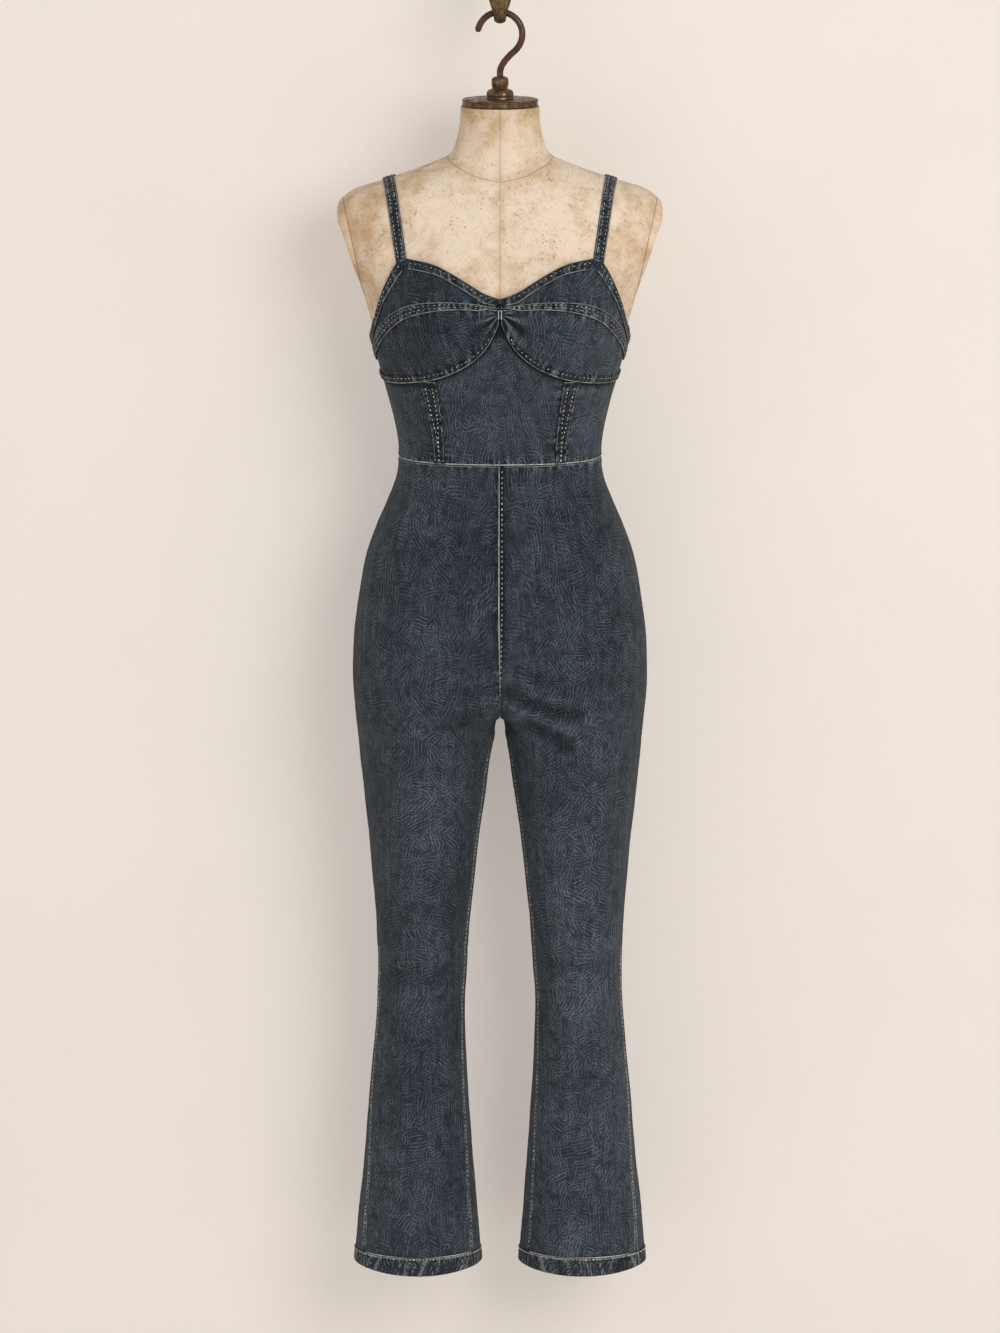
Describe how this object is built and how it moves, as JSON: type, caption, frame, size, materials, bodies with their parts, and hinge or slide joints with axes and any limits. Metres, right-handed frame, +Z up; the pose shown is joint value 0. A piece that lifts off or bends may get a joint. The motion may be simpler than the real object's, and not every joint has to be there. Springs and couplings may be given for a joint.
{
  "type": "denim jumpsuit on a hanging dress form",
  "caption": "Strappy denim jumpsuit with sweetheart cups, a fitted bodice and flared legs, shown filled out on a dress form that hangs from a brass wall hook.",
  "frame": {"origin": "centre of the wall plate's flat back face", "axes": "+Z up, +Y out of the plate's back into the wall, the jumpsuit's front faces -Y, +X to the wearer's left"},
  "size_m": [0.394, 0.2682, 1.613],
  "materials": {
    "denim": "washed dark blue-grey stretch denim, mottled",
    "denim_bands": "doubled and topstitched denim, worn light on its edges",
    "zip_metal": "antiqued zip metal",
    "papier_mache": "aged cream papier-mache, stained and scratched",
    "bronze": "dark patinated bronze",
    "hook_steel": "red-brown patina on steel",
    "brass": "aged brass"
  },
  "bodies": {
    "jumpsuit_and_form": {"leg_front_left": "denim", "leg_front_right": "denim", "leg_back_left": "denim", "leg_back_right": "denim", "bodice_centre_front": "denim", "bodice_side_front_left": "denim", "bodice_side_front_right": "denim", "bodice_back_left": "denim", "bodice_back_right": "denim", "lower_cup_left": "denim", "lower_cup_right": "denim", "upper_cup_left": "denim", "upper_cup_right": "denim", "hem_left": "denim_bands", "hem_right": "denim_bands", "armhole_band_left": "denim_bands", "armhole_band_right": "denim_bands", "back_top_band_left": "denim_bands", "back_top_band_right": "denim_bands", "cup_seam_band_left": "denim_bands", "cup_seam_band_right": "denim_bands", "neckline_band_left": "denim_bands", "neckline_band_right": "denim_bands", "princess_band_left": "denim_bands", "princess_band_right": "denim_bands", "underbust_band_left": "denim_bands", "underbust_band_right": "denim_bands", "strap_left": "denim_bands", "strap_right": "denim_bands", "centre_keeper": "denim_bands", "zip_chain": "zip_metal", "zip_slider": "zip_metal", "form_torso": "papier_mache", "form_arm_plate_left": "papier_mache", "form_arm_plate_right": "papier_mache", "form_neck_cap": "bronze", "form_collar": "bronze", "form_hook": "hook_steel", "wall_hook": "brass", "wall_plate": "brass"},
    "zip_pull": {"zip_pull_tab": "zip_metal"}
  },
  "joints": [
    {"name": "zip_pull_hinge", "type": "hinge", "parent": "jumpsuit_and_form", "child": "zip_pull", "pos_m": [0, -0.03437, -0.4275], "axis": [1, 0, 0], "range_deg": [0, 160]}
  ]
}
